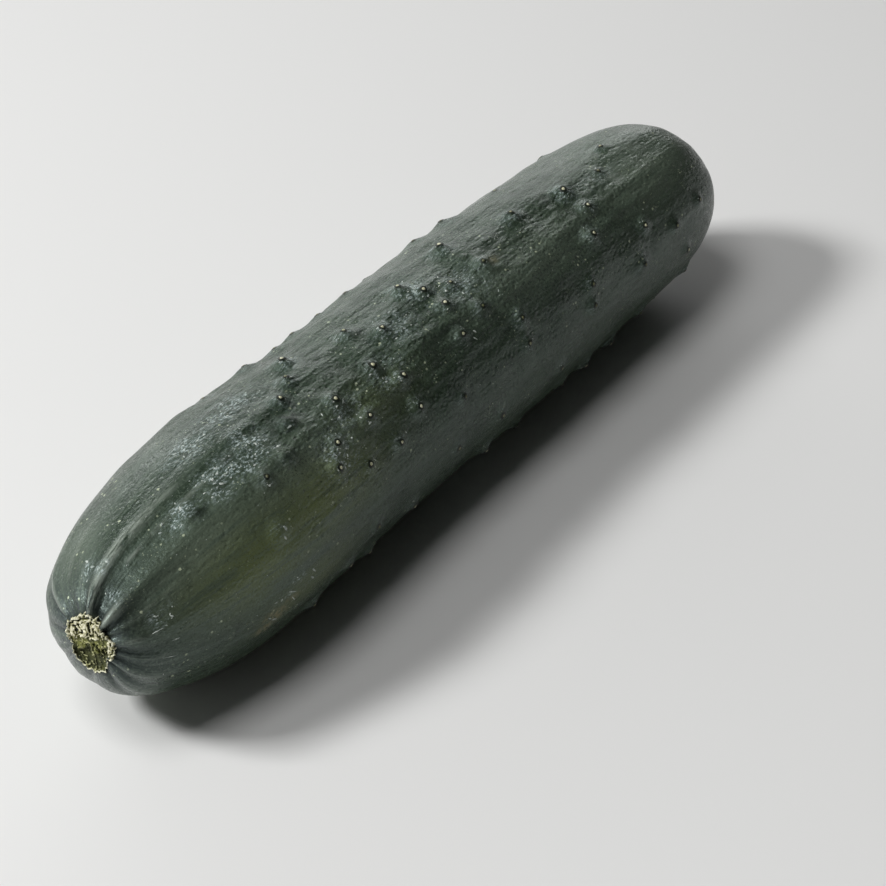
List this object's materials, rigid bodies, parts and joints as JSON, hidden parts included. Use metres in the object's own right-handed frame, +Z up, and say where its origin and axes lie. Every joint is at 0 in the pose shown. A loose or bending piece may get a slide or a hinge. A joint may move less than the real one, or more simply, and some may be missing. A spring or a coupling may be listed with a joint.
{
  "type": "whole cucumber",
  "caption": "Whole cucumber lying on its side: ribbed at the blunt stem end, warty along the middle, rounded at the blossom end, with the scar of the cut stalk.",
  "frame": {"origin": "bottom centre of the whole, on the surface it lies on", "axes": "+X along the fruit from the stem end to the blossom end, +Z up as it lies, -Y towards the side seen in the picture"},
  "size_m": [0.231, 0.049, 0.0475],
  "materials": {
    "cucumber_skin": "dark green living skin with a soft waxy sheen, pale tips on the warts",
    "dry_stalk": "dry fibrous straw and olive cut end, rough"
  },
  "bodies": {
    "root": {"fruit": "cucumber_skin", "stalk_stub": "dry_stalk"}
  },
  "joints": []
}
